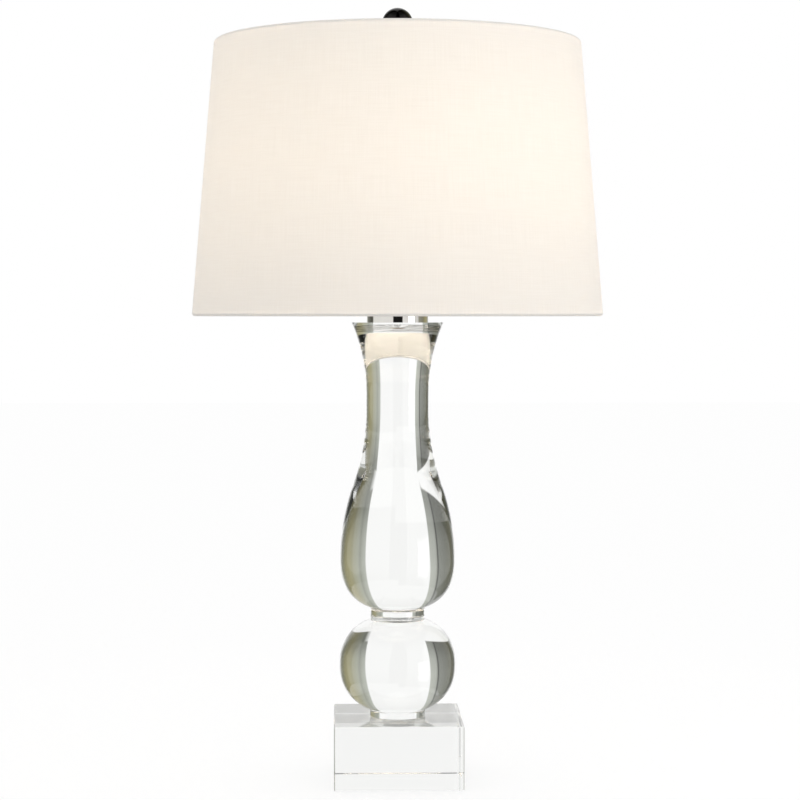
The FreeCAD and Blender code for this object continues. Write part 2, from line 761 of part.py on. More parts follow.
def build_socket():
    """Cap, shell, paper sleeve, moulded block, screw shell, contact and terminal screws."""
    wall = S.cap_wall
    inside = S.cap_radius - wall
    turned("socket_cap", [
        (thread_hole, 0), (S.cap_hub_radius, 0), (S.cap_hub_radius, S.cap_hub_step),
        (S.cap_radius, S.cap_shoulder), (S.cap_radius, S.cap_height), (inside, S.cap_height),
        (inside, S.cap_shoulder + wall / 2), (S.cap_boss_radius, S.cap_hub_step + wall),
        (S.cap_boss_radius, S.cap_thread_length), (thread_hole, S.cap_thread_length),
    ], cap_level)

    shell_inside = shell_radius - S.shell_wall
    bead_low = S.shell_height - S.shell_bead_height
    shell = turned("socket_shell", [
        (shell_inside, 0), (shell_radius, 0), (shell_radius, bead_low),
        (shell_radius + S.shell_bead, bead_low + S.shell_bead),
        (shell_radius + S.shell_bead, S.shell_height), (shell_inside, S.shell_height),
    ], shell_level)
    cut_knob_slot(shell, "shell", shaft_level - shell_level)

    sleeve = turned("socket_sleeve", ring(sleeve_radius - S.sleeve_wall, sleeve_radius, 0,
                                          S.sleeve_height), shell_level)
    cut_knob_slot(sleeve, "sleeve", shaft_level - shell_level)

    block = turned("socket_interior", [
        (0, 0), (S.block_foot_radius, 0), (S.block_foot_radius, S.block_foot_height),
        (block_radius, S.block_foot_height + S.block_step),
        (block_radius, S.block_height), (0, S.block_height),
    ], block_level)
    bearing = new_sketch(block, "block_bearing")
    draw_circle(bearing, 0, shaft_level - block_level, S.shaft_radius + S.running_gap)
    pocket(block, bearing, block_radius * 2, reverse=True)
    seats = new_sketch(block, "terminal_seats", "YZ_Plane")
    draw_circle(seats, 0, S.terminal_radius, S.terminal_shank + S.thread_gap)
    pocket(block, seats, block_radius * 2, middle=True)

    outer = S.screw_shell_radius
    inner = outer - S.screw_shell_wall
    floor_hole = S.contact_radius + S.contact_margin
    turned("screw_shell", [
        (floor_hole, 0), (outer, 0), (outer, S.screw_shell_height),
        (inner, S.screw_shell_height), (inner, S.screw_shell_wall),
        (floor_hole, S.screw_shell_wall),
    ], screw_shell_level)
    turned("centre_contact", [
        (0, 0), (S.contact_radius, 0), (S.contact_radius, S.contact_base),
        (S.contact_step_radius, S.contact_base), (S.contact_tip_radius, S.contact_height),
        (0, S.contact_height),
    ], screw_shell_level)
    build_terminals()


def build_terminals():
    """Two wire screws in the foot of the moulded block, one at each side."""
    screws = []
    for name, sign, turn in (("right_terminal", 1, TO_RIGHT), ("left_terminal", -1, TO_LEFT)):
        screw = turned(name, [
            (0, -S.terminal_depth), (S.terminal_shank, -S.terminal_depth), (S.terminal_shank, 0),
            (S.terminal_radius, 0), (S.terminal_radius, S.terminal_head), (0, S.terminal_head),
        ])
        place(screw, x=(S.block_foot_radius + S.skin_gap) * sign, z=block_level + S.terminal_radius,
              rotation=turn)
        NODES.remove(screw)
        screws.append(screw)
    group = doc.addObject("Part::Compound", "terminal_screws_group")
    group.Links = screws
    group.Label = "terminal_screws"
    NODES.append(group)


def build_switch():
    """Rotary switch shaft and its flattened knob, on one axis that points to the front."""
    start = S.cap_radius + S.knob_gap
    grip = S.knob_length / 2
    shaft_end = start + grip
    turned("switch_shaft", [(0, S.shaft_root), (S.shaft_radius, S.shaft_root),
                            (S.shaft_radius, shaft_end), (0, shaft_end)],
           z=shaft_level, rotation=TO_FRONT)
    bore = S.shaft_radius + S.thread_gap
    depth = grip + S.skin_gap
    profile = doc.addObject("PartDesign::Body", "knob_profile")
    sketch = new_sketch(profile, "knob_outline")
    draw_outline(sketch, [
        (bore, 0), (S.knob_foot_radius, 0), (S.knob_waist_radius, S.knob_waist_height),
        (S.knob_radius, S.knob_shoulder_height, S.knob_end_curve, -1),
        (0, S.knob_length), (0, depth), (bore, depth),
    ])
    revolve(profile, sketch)
    slab = doc.addObject("Part::Box", "knob_slab")
    slab.setExpression("Length", (S.knob_radius * 4).text)
    slab.setExpression("Width", S.knob_thickness.text)
    slab.setExpression("Height", (S.knob_length * 2).text)
    place(slab, x=S.knob_radius * -2, y=S.knob_thickness * -0.5)
    knob = doc.addObject("Part::Common", "turn_knob_shape")
    knob.Base = profile
    knob.Tool = slab
    knob.Label = "turn_knob"
    NODES.append(knob)
    place(knob, y=-start, z=shaft_level, rotation=TO_FRONT)


# ---------------------------------------------------------------- bulb

def build_bulb_glass():
    """Round glass envelope: straight neck, outward sweep and ball, with an even wall."""
    neck = S.bulb_neck_radius
    turn_in = S.bulb_neck_curve
    swell = S.bulb_radius
    rise = S.bulb_neck_height
    centre = rise + root((swell + turn_in) * (swell + turn_in) - (neck + turn_in) * (neck + turn_in))
    share = swell / (swell + turn_in)
    touch_x = (neck + turn_in) * share
    touch_z = centre - (centre - rise) * share
    wall = S.bulb_wall
    thin = (swell - wall) / (swell + turn_in)
    inner_x = (neck + turn_in) * thin
    inner_z = centre - (centre - rise) * thin
    turned("bulb_glass", [
        (neck, 0), (neck, rise, turn_in, 1), (touch_x, touch_z, swell, -1),
        (swell, centre, swell, -1), (0, centre + swell),
        (0, centre + swell - wall, swell - wall, 1), (swell - wall, centre, swell - wall, 1),
        (inner_x, inner_z, turn_in + wall, -1), (neck - wall, rise), (neck - wall, 0),
    ], glass_level)


def build_bulb_base():
    """Screw cap, the insulator in its lower end, and the contact in the insulator's middle."""
    thickness = S.bulb_cap_wall
    base = S.bulb_base_radius
    low = S.bulb_base_height
    inside = S.bulb_cap_radius - thickness
    turned("bulb_cap", [
        (base, low), (base + thickness, low), (S.bulb_cap_radius, S.bulb_cap_shoulder),
        (S.bulb_cap_radius, S.bulb_cap_height), (inside, S.bulb_cap_height),
        (inside, S.bulb_cap_shoulder), (base, low + thickness),
    ], bulb_level)
    rim = base - S.skin_gap
    turned("bulb_insulator", [
        (0, S.bulb_contact_height), (S.bulb_contact_recess, S.bulb_contact_height), (rim, low),
        (rim, low + S.insulator_rise), (0, low + S.insulator_rise),
    ], bulb_level)
    turned("bulb_contact", [
        (0, 0), (S.bulb_contact_tip_radius, 0), (S.bulb_contact_radius, S.bulb_contact_edge),
        (S.bulb_contact_radius, S.bulb_contact_height), (0, S.bulb_contact_height),
    ], bulb_level)


def build_bulb_inside():
    """Glass stem that closes the neck, and the looped filament that stands on its flare."""
    foot = S.bulb_neck_radius - S.bulb_wall - S.skin_gap
    turned("bulb_stem", [
        (0, 0), (foot, 0), (foot, S.stem_foot_height),
        (S.stem_radius, S.stem_flare_height),
        (S.stem_radius, S.stem_height), (0, S.stem_height),
    ], glass_level)

    body = new_body("bulb_filament")
    path = new_sketch(body, "filament_path")
    reach = S.filament_reach
    lead = S.filament_rise
    flare = S.stem_flare_height - S.stem_foot_height
    lead_foot = (S.stem_foot_height + flare * (foot - reach + S.filament_radius)
                 / (foot - S.stem_radius) + S.seat_gap)
    start = FreeCAD.Vector(-reach.value, 0, 0)
    left = FreeCAD.Vector(-reach.value, lead.value, 0)
    right = FreeCAD.Vector(reach.value, lead.value, 0)
    crown = FreeCAD.Vector(0, lead.value, 0)
    path.addGeometry([
        Part.LineSegment(start, left),
        arc_about(crown, right, left, reach.value, True)[0],
        Part.LineSegment(right, FreeCAD.Vector(reach.value, 0, 0)),
    ], False)
    path.addConstraint(Sketcher.Constraint("Tangent", 0, 2, 1, 2))
    path.addConstraint(Sketcher.Constraint("Tangent", 1, 1, 2, 1))
    path.addConstraint(Sketcher.Constraint("Vertical", 0))
    pin_point(path, 0, 1, -reach, 0)
    pin_point(path, 1, 3, 0, lead)
    path.addConstraint(Sketcher.Constraint("PointOnObject", 2, 2, -1))
    section = new_sketch(body, "filament_section", "XY_Plane")
    draw_circle(section, -reach, 0, S.filament_radius)
    doc.recompute()
    pipe = body.newObject("PartDesign::AdditivePipe", "filament_pipe")
    pipe.Profile = section
    pipe.Spine = (path, ["Edge1", "Edge2", "Edge3"])
    body.Tip = pipe
    place(body, z=glass_level + lead_foot)


# ---------------------------------------------------------------- shade

def build_spider():
    """Top wire and three arms that run down to the spider's washer, welded together."""
    body = new_body("shade_spider")
    middle = S.spider_washer / 2
    ring_level = S.spider_recess - roll
    ring_radius = S.shade_top_radius - roll
    wire = new_sketch(body, "top_wire")
    draw_circle(wire, ring_radius, ring_level, S.ring_wire_radius)
    revolve(body, wire)
    start = S.spider_washer_radius - S.arm_radius
    path = new_sketch(body, "arm_path")
    run = S.arm_run
    slope_x = ring_radius - run
    slope_z = ring_level - middle
    slope = root(slope_x * slope_x + slope_z * slope_z)
    # The bend touches both runs at the same distance from the corner between them.
    back = S.arm_bend * (slope - slope_x) / slope_z
    bend_x = run + back * slope_x / slope
    bend_z = middle + back * slope_z / slope
    points = [(start, middle), (run - back, middle), (bend_x, bend_z), (ring_radius, ring_level)]
    spots = [FreeCAD.Vector(x.value, z.value, 0) for x, z in points]
    arc, order = arc_between(spots[1], spots[2], S.arm_bend.value, -1)
    path.addGeometry([Part.LineSegment(spots[0], spots[1]), arc,
                      Part.LineSegment(spots[2], spots[3])], False)
    path.addConstraint(Sketcher.Constraint("Coincident", 0, 2, 1, order[0]))
    path.addConstraint(Sketcher.Constraint("Coincident", 1, order[1], 2, 1))
    pin_point(path, 0, 1, *points[0])
    pin_point(path, 0, 2, *points[1])
    pin_point(path, 2, 1, *points[2])
    pin_point(path, 2, 2, *points[3])
    dimension(path, "Radius", (1,), S.arm_bend)
    section = new_sketch(body, "arm_section", "YZ_Plane")
    section.AttachmentOffset = FreeCAD.Placement(FreeCAD.Vector(0, 0, start.value),
                                                 FreeCAD.Rotation())
    section.setExpression("AttachmentOffset.Base.z", start.text)
    draw_circle(section, 0, middle, S.arm_radius)
    doc.recompute()
    arm = body.newObject("PartDesign::AdditivePipe", "spider_arm")
    arm.Profile = section
    arm.Spine = (path, ["Edge1", "Edge2", "Edge3"])
    doc.recompute()
    arms = body.newObject("PartDesign::PolarPattern", "spider_arms")
    arms.Originals = [arm]
    arms.Axis = (origin_item(body, "Z_Axis"), [""])
    arms.Angle = 360
    arms.Occurrences = 3
    body.Tip = arms
    # The arms' inner ends are coped to the washer's rim.
    cope = new_sketch(body, "arm_cope", "XY_Plane")
    draw_circle(cope, 0, 0, S.spider_washer_radius)
    pocket(body, cope, (S.spider_washer + S.arm_radius) * 4, middle=True)
    place(body, z=spider_level, rotation=FreeCAD.Rotation(UP, 90))
    turned("spider_washer", ring(S.spider_hole_radius, S.spider_washer_radius,
                                 0, S.spider_washer), spider_level)


def build_shade():
    """Fabric rolled over its two wires, the lining behind it, and the wires."""
    build_spider()
    bottom_x = S.shade_bottom_radius - roll
    top_x = S.shade_top_radius - roll
    top_z = S.shade_height - roll
    taper = bottom_x - top_x
    rise = top_z - roll
    slope = root(taper * taper + rise * rise)
    out_x = rise / slope
    out_z = taper / slope

    def beside(x, z, distance):
        """Point at a distance outwards from a wire's centre, square to the wall."""
        return x + out_x * distance, z + out_z * distance

    # At the top the roll ends halfway down its inner side, above the spider's arms.
    lean = root(as_size(1) / 2)
    thin = roll - S.fabric_thickness
    low_out = beside(bottom_x, roll, roll)
    low_in = beside(bottom_x, roll, thin)
    high_out = beside(top_x, top_z, roll)
    high_in = beside(top_x, top_z, thin)
    turned("shade_fabric", [
        (low_out[0], low_out[1], roll, 1), (bottom_x, 0, roll, 1), (bottom_x - roll, roll),
        (bottom_x - thin, roll, thin, -1), (bottom_x, S.fabric_thickness, thin, -1), low_in,
        (high_in[0], high_in[1], thin, -1), (top_x, top_z + thin, thin, -1),
        (top_x - thin * lean, top_z + thin * lean),
        (top_x - roll * lean, top_z + roll * lean, roll, 1),
        (top_x, top_z + roll, roll, 1), high_out,
    ], shade_level)

    # The lining lies inside the fabric and ends clear of both wires.
    near = thin - S.glue_gap
    far = near - S.liner_thickness
    along = S.ring_wire_radius * 2
    step_x = out_z * along
    step_z = out_x * along
    lining = [beside(bottom_x, roll, near), beside(top_x, top_z, near),
              beside(top_x, top_z, far), beside(bottom_x, roll, far)]
    ends = [-1, 1, 1, -1]
    turned("shade_liner", [(x + step_x * end, z - step_z * end)
                           for (x, z), end in zip(lining, ends)], shade_level)

    wire = doc.addObject("Part::Torus", "shade_bottom_ring_wire")
    wire.setExpression("Radius1", bottom_x.text)
    wire.setExpression("Radius2", S.ring_wire_radius.text)
    wire.Label = "shade_bottom_ring"
    NODES.append(wire)
    place(wire, z=shade_level + roll)


def build_finial():
    """Ball on a short turned neck, bored for the harp stud's thread."""
    ball = S.finial_ball_radius
    centre = S.finial_height - ball
    neck = S.finial_neck_radius
    joint = centre - root(ball * ball - neck * neck)
    bore = S.stud_thread_radius + S.thread_gap
    turned("finial", [
        (bore, 0), (S.finial_base_radius, 0), (S.finial_base_radius, S.finial_base_height),
        (neck, S.finial_base_height + S.finial_cove), (neck, joint, ball, -1),
        (ball, centre, ball, -1),
        (0, S.finial_height), (0, S.finial_bore_depth), (bore, S.finial_bore_depth),
    ], finial_level)


# ---------------------------------------------------------------- the whole lamp

def check_and_write():
    """Make sure that every object is sound, then write one file for each sub-part."""
    doc.recompute()
    for item in doc.Objects:
        if "Invalid" in item.State or "Error" in item.State:
            raise RuntimeError(f"{item.Label} failed: {item.State}")
    for node in NODES:
        if node.Shape.isNull() or not node.Shape.isValid():
            raise RuntimeError(f"{node.Label} has no valid shape")
    os.makedirs("parts", exist_ok=True)
    for node in NODES:
        node.Shape.exportStep(f"parts/{node.Label}.step")
        box = node.Shape.optimalBoundingBox(False)
        print(f"{node.Label:18} {len(node.Shape.Solids)} solid(s), volume {node.Shape.Volume:11.1f}, "
              f"z {box.ZMin:7.2f} to {box.ZMax:7.2f}, reach {box.XMax:6.2f}, {box.YMax:6.2f}")


build_sheet()
build_column()
build_neck()
build_harp_parts()
build_socket()
build_switch()
build_bulb_glass()
build_bulb_base()
build_bulb_inside()
build_shade()
build_finial()
check_and_write()
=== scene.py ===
import json
import math

import bmesh
import bpy
from mathutils import Euler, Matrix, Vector


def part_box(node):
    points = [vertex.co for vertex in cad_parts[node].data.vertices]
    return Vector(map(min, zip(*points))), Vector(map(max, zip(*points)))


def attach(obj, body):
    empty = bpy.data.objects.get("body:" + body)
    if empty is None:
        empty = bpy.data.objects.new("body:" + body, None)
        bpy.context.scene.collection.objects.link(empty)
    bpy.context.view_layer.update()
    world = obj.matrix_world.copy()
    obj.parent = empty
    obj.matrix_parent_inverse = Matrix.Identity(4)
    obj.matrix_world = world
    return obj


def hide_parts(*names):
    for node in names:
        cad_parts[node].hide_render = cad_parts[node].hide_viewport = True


# Table lamp: a bonded crystal column on a square plinth, lit by its own bulb through a linen drum
# shade. Metres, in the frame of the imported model: +Z up, the front towards -Y.

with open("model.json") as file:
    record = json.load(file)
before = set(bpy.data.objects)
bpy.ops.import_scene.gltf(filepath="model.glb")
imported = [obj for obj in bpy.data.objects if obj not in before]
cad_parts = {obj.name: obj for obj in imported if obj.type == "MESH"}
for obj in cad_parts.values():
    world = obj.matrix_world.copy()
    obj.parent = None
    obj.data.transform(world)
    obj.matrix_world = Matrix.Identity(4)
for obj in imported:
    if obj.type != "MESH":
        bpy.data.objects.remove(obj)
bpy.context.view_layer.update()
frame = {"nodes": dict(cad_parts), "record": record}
NODES = frame["nodes"]
MM = 0.001


# ---------------------------------------------------------------- camera

CAMERA_DISTANCE = 2.145
CAMERA_HEIGHT = 0.4651
CAMERA_TILT = math.radians(2.32)
CAMERA_BEARING = math.radians(1.527)
CAMERA_TURN = math.radians(1.593)
CAMERA_LENS = 97.07


def make_camera():
    """Camera at the photograph's place: near the lamp's middle height, a little to its left."""
    data = bpy.data.cameras.new("camera")
    data.lens = CAMERA_LENS
    data.sensor_width = 36.0
    data.clip_start = 0.05
    data.clip_end = 60.0
    camera = bpy.data.objects.new("camera", data)
    camera.location = (-CAMERA_DISTANCE * math.sin(CAMERA_BEARING),
                       -CAMERA_DISTANCE * math.cos(CAMERA_BEARING), CAMERA_HEIGHT)
    camera.rotation_euler = Euler((math.radians(90) - CAMERA_TILT, 0, -CAMERA_TURN))
    bpy.context.scene.collection.objects.link(camera)
    bpy.context.scene.camera = camera


# ---------------------------------------------------------------- shader helpers

def grey(level):
    """One grey as an opaque colour."""
    return (level, level, level, 1.0)


def srgb(red, green, blue):
    """A colour as it shows on a screen, 0 to 255, as an opaque linear colour."""
    def linear(part):
        part = part / 255
        return part / 12.92 if part <= 0.04045 else ((part + 0.055) / 1.055) ** 2.4
    return (linear(red), linear(green), linear(blue), 1.0)


def add(tree, kind, inputs=None, **settings):
    """Add a shader node; an input is a value or another node's output."""
    node = tree.nodes.new("ShaderNode" + kind)
    for name, value in settings.items():
        setattr(node, name, value)
    for name, value in (inputs or {}).items():
        if isinstance(value, bpy.types.NodeSocket):
            tree.links.new(value, node.inputs[name])
        else:
            node.inputs[name].default_value = value
    return node


def math_node(tree, operation, first, second=0.0):
    """Result of one sum on one or two values."""
    return add(tree, "Math", {0: first, 1: second}, operation=operation).outputs[0]


def ramp(tree, factor, stops, interpolation="LINEAR"):
    """Colour ramp with stops of (place, colour)."""
    node = add(tree, "ValToRGB", {"Fac": factor})
    band = node.color_ramp
    band.interpolation = interpolation
    while len(band.elements) > 1:
        band.elements.remove(band.elements[-1])
    band.elements[0].position = stops[0][0]
    band.elements[0].color = stops[0][1]
    for place, colour in stops[1:]:
        band.elements.new(place).color = colour
    return node.outputs["Color"]


def mix_shaders(tree, factor, first, second):
    """Blend two shaders by a factor."""
    return add(tree, "MixShader", {0: factor, 1: first, 2: second}).outputs[0]


def new_material(name):
    """Empty node material with its tree."""
    material = bpy.data.materials.new(name)
    material.use_nodes = True
    material.node_tree.nodes.clear()
    return material, material.node_tree


def finish_material(tree, shader):
    """Send a shader to the material's output."""
    add(tree, "OutputMaterial", {"Surface": shader})


def noise(tree, scale, detail=2.0, stretch=(1, 1, 1), low=0.0, high=1.0, roughness=0.5):
    """Noise on the object's own coordinates, mapped to a range."""
    place = add(tree, "TexCoord").outputs["Object"]
    mapped = add(tree, "Mapping", {"Vector": place, "Scale": stretch}).outputs[0]
    field = add(tree, "TexNoise", {"Vector": mapped, "Scale": scale, "Detail": detail,
                                   "Roughness": roughness})
    return add(tree, "MapRange", {"Value": field.outputs["Fac"], "From Min": 0.3, "From Max": 0.7,
                                  "To Min": low, "To Max": high}).outputs[0]


def mixed(tree, factor, first, second, blend="MIX"):
    """Mix two colours, or the colours of two outputs."""
    node = add(tree, "Mix", {0: factor, 6: first, 7: second}, data_type="RGBA", blend_type=blend)
    return node.outputs[2]


def bump(tree, height, distance, strength=1.0):
    """Normal that follows a height field."""
    return add(tree, "Bump", {"Height": height, "Distance": distance,
                              "Strength": strength}).outputs[0]


# ---------------------------------------------------------------- studio

WHITE = grey(1.0)
AMBIENT = 0.97
FLOOR_LEVEL = -0.0005
FLOOR_HALF = 9.0
FLOOR_COLOUR = grey(0.97)
FLOOR_SHADOW_SHARE = 0.22
FLOOR_LIT = grey(0.80)
# The square under the plinth is the part of the floor that glass and metal see.
STAND_HALF = 0.066
STAND_SOFTNESS = 0.004

# The walls that glass and metal see beside the white backdrop and above the white table and floor:
# bearing from +Y towards +X in degrees, and colour.
WALLS = [
    (-180, srgb(30, 30, 30)), (-163, srgb(30, 30, 30)), (-162.5, srgb(240, 241, 241)),
    (-78, srgb(238, 240, 238)), (-74, srgb(98, 98, 92)), (-64, srgb(90, 91, 84)),
    (-50, srgb(112, 114, 107)), (-35, srgb(138, 140, 134)), (-33.2, srgb(140, 142, 137)),
    (-32.4, srgb(66, 68, 64)), (-31.4, srgb(66, 68, 64)), (-30.8, srgb(178, 180, 173)),
    (-24, srgb(186, 189, 181)), (26, srgb(188, 191, 183)), (30, srgb(168, 171, 160)),
    (31.6, srgb(150, 152, 142)), (33, srgb(174, 177, 164)), (42, srgb(168, 166, 140)),
    (48, srgb(172, 167, 132)), (58, srgb(162, 157, 121)), (66, srgb(144, 142, 116)),
    (76, srgb(140, 140, 126)), (96, srgb(160, 160, 150)), (98, srgb(225, 226, 226)),
    (162.5, srgb(240, 241, 241)), (163, srgb(30, 30, 30)), (180, srgb(30, 30, 30)),
]
# Brightness of those walls by height, from straight down to straight up, in degrees.
WALL_HEIGHTS = [
    (-90, grey(0.45)), (-30, grey(0.50)), (-22, grey(0.55)), (-12, grey(0.85)), (0, grey(1.0)),
    (32, grey(1.05)), (48, grey(0.75)), (60, grey(0.30)), (90, grey(0.12)),
]
# The white backdrop lies between two bearings and leans by this much for each degree of height.
BACKDROP_LEFT = -23.4
BACKDROP_RIGHT = 25.2
BACKDROP_LEAN = 0.06
# The white table starts below a height, and its front edge rises past a corner to the left.
TABLE_TOP_FROM = -27.0
TABLE_EDGE = -37.5
TABLE_CORNER = -2.0
TABLE_EDGE_SLOPE = 0.5
TABLE_REACH = 27.0
TABLE_SOFTNESS = 3.0
# A tall soft box behind the camera's right shoulder, which shows as a highlight on glass and metal.
SOFTBOX_SEEN = (128.0, -9.0)
SOFTBOX_SEEN_HALF = (10.0, 12.0)
SOFTBOX_SEEN_SOFTNESS = 0.35
SOFTBOX_SEEN_STRENGTH = 6.0


def step_up(tree, value, edge, softness=0.5):
    """0 below an edge and 1 above it, with a soft change between."""
    return add(tree, "MapRange", {"Value": value, "From Min": edge - softness,
                                  "From Max": edge + softness}).outputs[0]


def step_down(tree, value, edge, softness=0.5):
    """1 below an edge and 0 above it, with a soft change between."""
    return step_up(tree, math_node(tree, "MULTIPLY", value, -1.0), -edge, softness)


def mirror_ray(tree, path):
    """1 for a ray that glass or metal sends on."""
    return math_node(tree, "MAXIMUM", path.outputs["Is Glossy Ray"],
                     path.outputs["Is Transmission Ray"])


def studio_colour(tree):
    """Colour of the studio where a ray goes, and the soft box's share of it."""
    parts = add(tree, "SeparateXYZ", {0: add(tree, "TexCoord").outputs["Generated"]})
    bearing = math_node(tree, "ARCTAN2", parts.outputs["X"], parts.outputs["Y"])
    bearing = math_node(tree, "MULTIPLY", bearing, 180 / math.pi)
    height = math_node(tree, "ARCSINE", parts.outputs["Z"])
    height = math_node(tree, "MULTIPLY", height, 180 / math.pi)
    leaning = math_node(tree, "ADD", bearing, math_node(tree, "MULTIPLY", height, BACKDROP_LEAN))
    level = math_node(tree, "ADD", math_node(tree, "DIVIDE", height, 180.0), 0.5)
    turn = math_node(tree, "ADD", math_node(tree, "DIVIDE", leaning, 360.0), 0.5)

    walls = mixed(tree, 1.0, ramp(tree, turn, [(at / 360 + 0.5, c) for at, c in WALLS]),
                  ramp(tree, level, [(at / 180 + 0.5, c) for at, c in WALL_HEIGHTS]), "MULTIPLY")
    beyond_left = step_up(tree, leaning, BACKDROP_LEFT)
    backdrop = math_node(tree, "MULTIPLY", beyond_left,
                         step_down(tree, leaning, BACKDROP_RIGHT))
    table = math_node(tree, "MULTIPLY", beyond_left,
                      step_down(tree, leaning, TABLE_REACH, TABLE_SOFTNESS))
    table = math_node(tree, "MULTIPLY", table, step_down(tree, height, TABLE_TOP_FROM))
    past_corner = math_node(tree, "MAXIMUM", math_node(tree, "SUBTRACT", TABLE_CORNER, bearing), 0.0)
    edge = math_node(tree, "SUBTRACT", math_node(tree, "MULTIPLY", past_corner, -TABLE_EDGE_SLOPE),
                     TABLE_EDGE)
    edge = math_node(tree, "MAXIMUM", edge, -TABLE_TOP_FROM)
    floor = math_node(tree, "SUBTRACT", 1.0,
                      step_up(tree, math_node(tree, "ADD", height, edge), 0.0))
    colour = walls
    for share in (backdrop, table, floor):
        colour = mixed(tree, share, colour, WHITE)

    away = []
    for value, place, half in zip((bearing, height), SOFTBOX_SEEN, SOFTBOX_SEEN_HALF):
        across = math_node(tree, "ABSOLUTE", math_node(tree, "SUBTRACT", value, place))
        away.append(math_node(tree, "DIVIDE", across, half))
    inside = math_node(tree, "SUBTRACT", 1.0, math_node(tree, "MAXIMUM", *away))
    return colour, step_up(tree, inside, 0.0, SOFTBOX_SEEN_SOFTNESS)


def make_world():
    """White to the camera and an even light on the lamp. Glass and metal see the same white
    ahead and below, and the studio's walls beside it."""
    world = bpy.data.worlds.new("studio")
    bpy.context.scene.world = world
    world.use_nodes = True
    tree = world.node_tree
    tree.nodes.clear()
    path = add(tree, "LightPath")
    lit = add(tree, "Background", {"Color": WHITE, "Strength": AMBIENT}).outputs[0]
    colour, box = studio_colour(tree)
    box = math_node(tree, "MULTIPLY", box, path.outputs["Is Glossy Ray"])
    strength = math_node(tree, "MULTIPLY_ADD", box, SOFTBOX_SEEN_STRENGTH)
    strength.node.inputs[2].default_value = 1.0
    seen = add(tree, "Background", {"Color": colour, "Strength": strength}).outputs[0]
    white = add(tree, "Background", {"Color": WHITE, "Strength": 1.0}).outputs[0]
    shader = mix_shaders(tree, mirror_ray(tree, path), lit, seen)
    shader = mix_shaders(tree, path.outputs["Is Camera Ray"], shader, white)
    add(tree, "OutputWorld", {"Surface": shader})


def make_floor():
    """White floor that keeps a faint shadow of the lamp. Away from the plinth, glass and metal see
    through it to the world's white."""
    mesh = bpy.data.meshes.new("floor")
    half = FLOOR_HALF
    mesh.from_pydata([(-half, -half, FLOOR_LEVEL), (half, -half, FLOOR_LEVEL),
                      (half, half, FLOOR_LEVEL), (-half, half, FLOOR_LEVEL)], [], [(0, 1, 2, 3)])
    floor = bpy.data.objects.new("floor", mesh)
    bpy.context.scene.collection.objects.link(floor)
    material, tree = new_material("pale_floor")
    path = add(tree, "LightPath")
    parts = add(tree, "SeparateXYZ", {0: add(tree, "TexCoord").outputs["Object"]})
    reach = math_node(tree, "MAXIMUM", math_node(tree, "ABSOLUTE", parts.outputs["X"]),
                      math_node(tree, "ABSOLUTE", parts.outputs["Y"]))
    shadowed = add(tree, "BsdfDiffuse", {"Color": FLOOR_COLOUR}).outputs[0]
    lit = add(tree, "BsdfDiffuse", {"Color": FLOOR_LIT}).outputs[0]
    clear = add(tree, "BsdfTransparent").outputs[0]
    seen = mix_shaders(tree, step_up(tree, reach, STAND_HALF, STAND_SOFTNESS), shadowed, clear)
    glow = add(tree, "Emission", {"Color": WHITE, "Strength": 1.0}).outputs[0]
    white = mix_shaders(tree, FLOOR_SHADOW_SHARE, glow, shadowed)
    shader = mix_shaders(tree, mirror_ray(tree, path), lit, seen)
    shader = mix_shaders(tree, path.outputs["Is Camera Ray"], shader, white)
    finish_material(tree, shader)
    mesh.materials.append(material)


SOFTBOX_BEARING = math.radians(49)
SOFTBOX_DISTANCE = 1.6
SOFTBOX_SIZE = (0.55, 0.95)
SOFTBOX_HEIGHT = 0.80
SOFTBOX_RADIANCE = 2.2
SOFTBOX_AIM = (0, 0, 0.36)


def make_lights():
    """One soft box to the right of the camera. It lights the shade's right side, and glass and
    metal see the one in the world instead."""
    data = bpy.data.lights.new("softbox", "AREA")
    data.shape = "RECTANGLE"
    data.size, data.size_y = SOFTBOX_SIZE
    data.energy = SOFTBOX_RADIANCE * SOFTBOX_SIZE[0] * SOFTBOX_SIZE[1] * math.pi
    lamp = bpy.data.objects.new("softbox", data)
    angle = SOFTBOX_BEARING - CAMERA_BEARING
    lamp.visible_glossy = False
    lamp.visible_transmission = False
    lamp.location = (SOFTBOX_DISTANCE * math.sin(angle), -SOFTBOX_DISTANCE * math.cos(angle),
                     SOFTBOX_HEIGHT)
    towards = Vector(SOFTBOX_AIM) - lamp.location
    lamp.rotation_euler = towards.to_track_quat("-Z", "Y").to_euler()
    bpy.context.scene.collection.objects.link(lamp)


# ---------------------------------------------------------------- outlines from the frame

SEAM = 2e-6
WELD = 1e-6


def seam_points(node):
    """Corners of a turned node on its seam, each with its neighbours there."""
    source = NODES[node]
    shape = bmesh.new()
    shape.from_mesh(source.data)
    shape.transform(source.matrix_world)
    bmesh.ops.remove_doubles(shape, verts=shape.verts, dist=WELD)
    beside = {}
    for edge in shape.edges:
        ends = [vert for vert in edge.verts if abs(vert.co.y) < SEAM and vert.co.x > -SEAM]
        if len(ends) == 2:
            first, second = [(vert.co.x, vert.co.z) for vert in ends]
            beside.setdefault(first, []).append(second)
            beside.setdefault(second, []).append(first)
    shape.free()
    return beside


def outline_of(node):
    """A turned node's outline as (radius, height) points, from its lowest end, or right round."""
    beside = seam_points(node)
    ends = [point for point, near in beside.items() if len(near) == 1]
    start = min(ends or beside, key=lambda point: (round(point[1], 6), point[0]))
    chain = [start]
    ahead = min(beside[start], key=lambda point: (round(point[1], 6), -point[0]))
    while ahead and ahead != start:
        chain.append(ahead)
        ahead = next((point for point in beside[ahead] if point not in chain[-2:]), None)
    return chain


STRAIGHT = 1e-11


